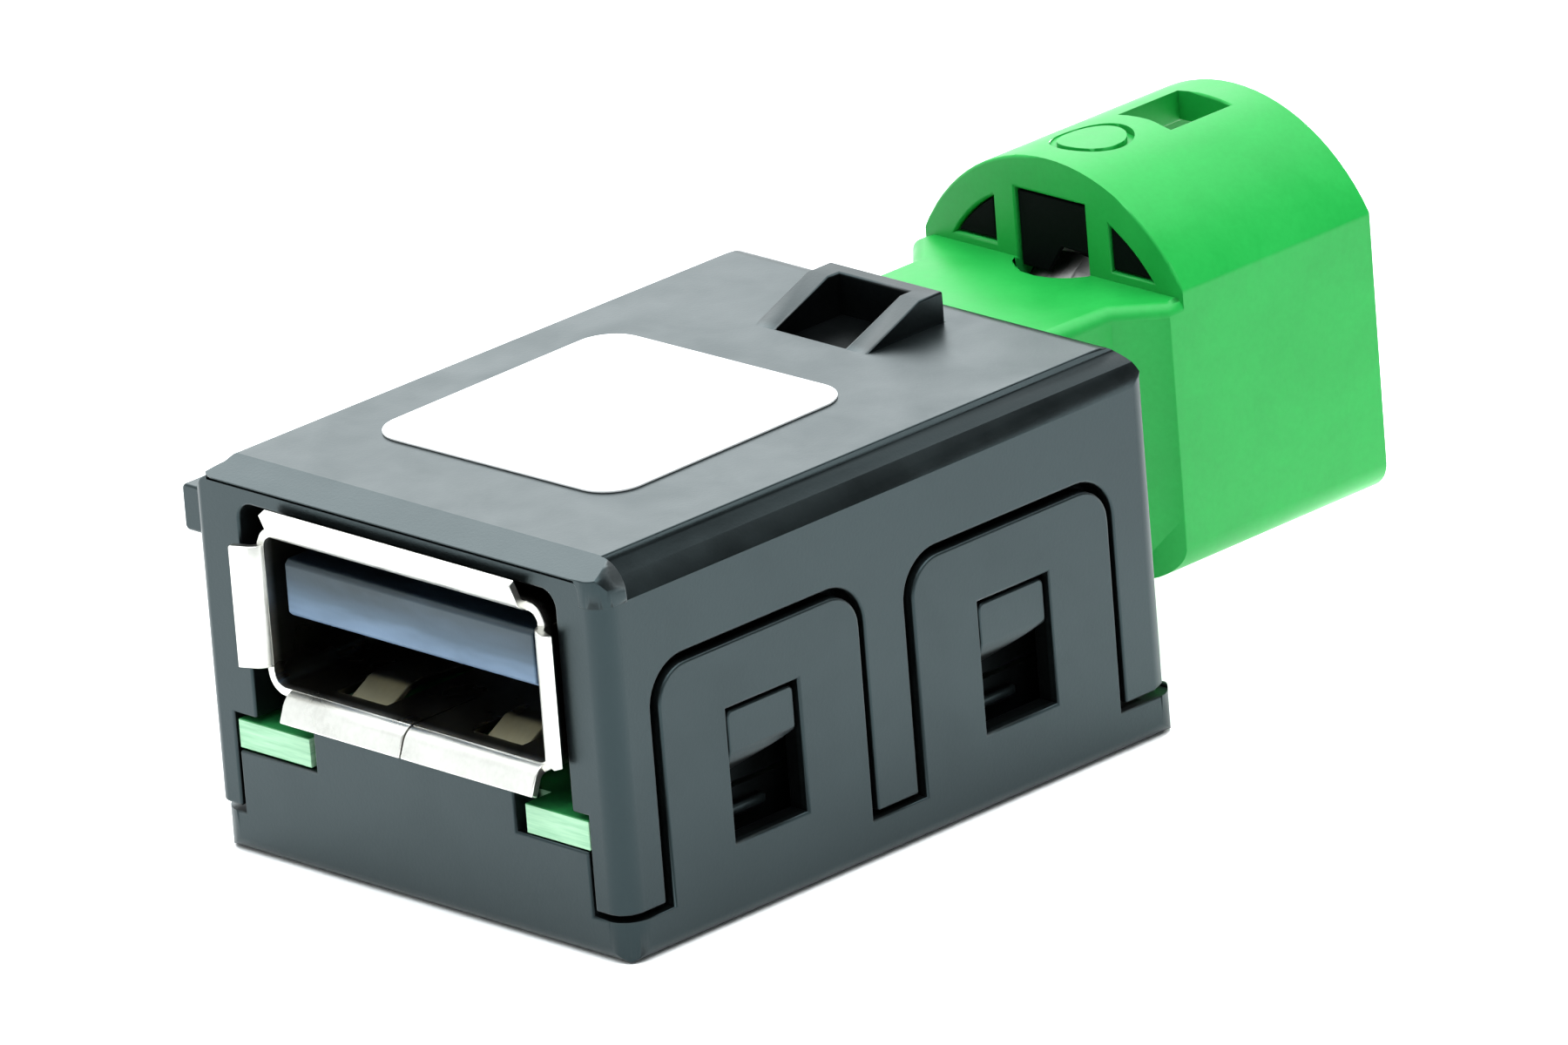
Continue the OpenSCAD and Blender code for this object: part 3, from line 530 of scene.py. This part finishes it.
def build(source, name, width, material, special=None, segments=3, hollow=0.0, smooth=38.0, crease=None, barrels=()):
    """A copy of a CAD node whose outer edges are rounded by width (mm), less where there is less room,
    and not at all where the rounding would spoil the shape. special may give an edge its own radius,
    crease picks shallow edges that are shaded as edges."""
    bm = welded(source)
    layer = bm.edges.layers.float.new("bevel_weight_edge")
    wanted, most = {}, width
    for e in bm.edges:
        if len(e.link_faces) != 2:
            continue
        angle = e.calc_face_angle_signed(0.0)
        if abs(angle) < math.radians(28):
            continue
        r = width if angle > 0 else hollow
        if special:
            s = special((e.verts[0].co + e.verts[1].co) / (2 * MM), e.link_faces[0].normal, e.link_faces[1].normal,
                        (e.verts[1].co - e.verts[0].co).normalized(), angle)
            if s is not None:
                r = s
        if r > 0:
            wanted[e] = r
            most = max(most, r)
    for e, r in wanted.items():
        room = min(reach_in_face(e, f) for f in e.link_faces)
        direction = (e.verts[1].co - e.verts[0].co).normalized()
        for v in e.verts:
            for g in v.link_edges:
                if g is e:
                    continue
                other = g.other_vert(v).co - v.co
                if abs(other.normalized().dot(direction)) > 0.94:
                    continue
                room = min(room, g.calc_length() * (1.0 if g in wanted else 1.8))
        r = min(r, 0.42 * room / MM)
        e[layer] = r / most if r > 0.006 else 0.0
    tree = BVHTree.FromBMesh(bm)
    for attempt in range(14):
        done = rounded_mesh(bm, most, segments, name + "_mesh")
        bad = faults(done, tree, 0.5 * most * MM)
        if not bad:
            break
        hit = set()
        for p in bad:
            best, edge = 1.0, None
            for e in wanted:
                if e[layer] <= 0:
                    continue
                near = intersect_point_line(p, e.verts[0].co, e.verts[1].co)
                t = min(1.0, max(0.0, near[1]))
                d = (e.verts[0].co.lerp(e.verts[1].co, t) - p).length
                if d < best:
                    best, edge = d, e
            if edge is not None:
                hit.add(edge)
        if not hit or attempt == 13:
            break
        for e in hit:
            e[layer] = 0.0 if e[layer] * most < 0.03 or attempt > 2 else e[layer] * 0.5
        bpy.data.meshes.remove(done)
    bm.free()
    obj = bpy.data.objects.new(name, done)
    scene.collection.objects.link(obj)
    done.name = name + "_mesh"
    done.materials.clear()
    done.materials.append(material)
    done.shade_smooth()
    done.set_sharp_from_angle(angle=math.radians(smooth))
    if crease:
        for e in done.edges:
            a, b = (done.vertices[i].co / MM for i in e.vertices)
            if crease(a) and crease(b):
                e.use_edge_sharp = True
    set_normals(obj, done, barrels)
    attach(obj, "root")
    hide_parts(source)
    return obj


make_camera()
make_world()
make_back_light()
make_floor()

BLACK_TINT = (0.66, 0.93, 1.0)
cover_mat = moulded("cover_plastic", (0.0012, 0.0014, 0.0015), (0.0028, 0.0033, 0.0034), 0.33, BLACK_TINT, 0.5, painted_shade_inside=True)
base_mat = moulded("base_plastic", (0.0012, 0.0014, 0.0015), (0.0028, 0.0033, 0.0034), 0.37, BLACK_TINT, 0.5, painted_shade_inside=True)
green_mat = moulded("connector_plastic", (0.006, 0.25, 0.034), (0.010, 0.29, 0.044), 0.40, (0.7, 1.0, 0.8), 0.3, 0.15)
tongue_mat = tongue_plastic()
insulator_mat = moulded("insulator_plastic", (0.66, 0.66, 0.60), (0.74, 0.74, 0.68), 0.45)
chip_mat = moulded("chip_plastic", (0.008, 0.008, 0.009), (0.018, 0.018, 0.019), 0.5)
# painted shade: the lock reflects almost nothing (level 0.03), so the windows of the green arch stay dark
lock_mat = moulded("lock_plastic", (0.001, 0.002, 0.0015), (0.002, 0.0035, 0.003), 0.6, None, 0.03)
ferrite_mat = moulded("ferrite", (0.03, 0.028, 0.028), (0.06, 0.056, 0.055), 0.6)
shell_mat = plated("shell_metal", (0.66, 0.65, 0.61), (0.78, 0.77, 0.73), 0.30, (6.0, 0.4, 6.0), True)
shield_mat = plated("shield_metal", (0.18, 0.18, 0.175), (0.26, 0.257, 0.25), 0.45, (6.0, 0.4, 6.0))
gold_mat = plated("contact_metal", (0.80, 0.60, 0.26), (0.90, 0.72, 0.36), 0.28, (6.0, 0.4, 6.0))
label_mat = label_film()
board_mat = board_laminate()
ceramic_mat = capped_chip("chip_ceramic", (0.42, 0.32, 0.20), (0.55, 0.44, 0.30), (20.2 + FRONT) * MM, 0.6 * MM)


def top_lines(p):
    """The shallow bends on the cover's top: at the hood, at the foot of the lug's ramp and between the edge facets."""
    if abs(p.z - 12.66) < 0.02 and abs(abs(p.x) - 8.85) < 0.02:
        return True
    return abs(p.z - 13.3) < 0.02 and min(abs(p.y - FRONT - 1.15), abs(p.y - FRONT - 18.85)) < 0.02


build("upper_housing", "cover", 0.10, cover_mat, crease=top_lines)
build("lower_housing", "base", 0.10, base_mat)
build("label", "label_sheet", 0.035, label_mat)
build("usb_shell", "receptacle_shell", 0.05, shell_mat, segments=2)
build("usb_insulator", "receptacle_tongue", 0.07, tongue_mat)
for n in ("power", "data_minus", "data_plus", "ground"):
    build("usb_contact_" + n, "front_contact_" + n, 0.04, gold_mat, segments=2)
build("circuit_board", "board_laminate", 0.03, board_mat, segments=1)
build("rear_connector_housing", "green_connector", 0.12, green_mat,
      barrels=((-0.15, 9.35, 6.75), (-5.0, 4.05, 1.0), (4.7, 4.05, 1.0)))
build("rear_connector_shield", "connector_sleeve", 0.05, shield_mat, segments=2)
build("rear_connector_insulator", "connector_core", 0.05, insulator_mat, segments=2)
build("rear_connector_lock", "connector_lock", 0.06, lock_mat, segments=2)
for n in ("power", "data_minus", "data_plus", "ground"):
    build("rear_pin_" + n, "back_pin_" + n, 0.0, gold_mat, segments=1)
build("common_mode_choke", "choke", 0.04, ferrite_mat, segments=2)
build("esd_array", "protection_array", 0.04, chip_mat, segments=2)
build("bypass_capacitor", "capacitor", 0.04, ceramic_mat, segments=2)
build("ferrite_bead", "bead", 0.04, ferrite_mat, segments=2)
